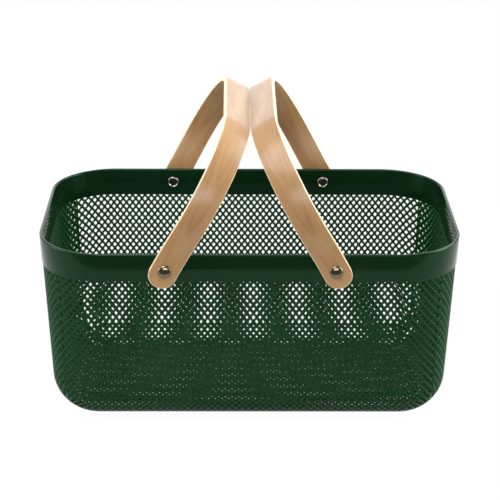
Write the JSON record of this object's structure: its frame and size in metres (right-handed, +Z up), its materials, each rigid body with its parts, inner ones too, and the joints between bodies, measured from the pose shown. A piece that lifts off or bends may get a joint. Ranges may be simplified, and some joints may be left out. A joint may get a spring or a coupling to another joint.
{
  "type": "mesh basket",
  "caption": "Rectangular open mesh basket with a smooth rim band and a pair of bentwood carrying handles that hinge on the long sides and fold down over the ends.",
  "frame": {"origin": "on the ground, under the middle of the base", "axes": "+X along the length, towards the right handle; +Y towards the back; +Z up"},
  "size_m": [0.3998, 0.2716, 0.2976],
  "materials": {
    "green_plastic": "satin, dark green",
    "pale_veneer": "clear matt lacquer over pale bent veneer",
    "bright_steel": "bright nickel plate",
    "dark_spacer": "matt"
  },
  "bodies": {
    "basket": {"basket_shell": "green_plastic", "barrel_nut_left_front": "bright_steel", "barrel_nut_left_back": "bright_steel", "barrel_nut_right_front": "bright_steel", "barrel_nut_right_back": "bright_steel", "screw_left_front": "bright_steel", "screw_left_back": "bright_steel", "screw_right_front": "bright_steel", "screw_right_back": "bright_steel", "spacer_left_front": "dark_spacer", "spacer_left_back": "dark_spacer", "spacer_right_front": "dark_spacer", "spacer_right_back": "dark_spacer"},
    "left_handle": {"handle_left": "pale_veneer"},
    "right_handle": {"handle_right": "pale_veneer"}
  },
  "joints": [
    {"name": "left_handle_hinge", "type": "hinge", "parent": "basket", "child": "left_handle", "pos_m": [-0.0787, 0, 0.16884], "axis": [0, -1, 0], "range_deg": [0, 143.5]},
    {"name": "right_handle_hinge", "type": "hinge", "parent": "basket", "child": "right_handle", "pos_m": [0.0787, 0, 0.16884], "axis": [0, 1, 0], "range_deg": [0, 143.5]}
  ]
}
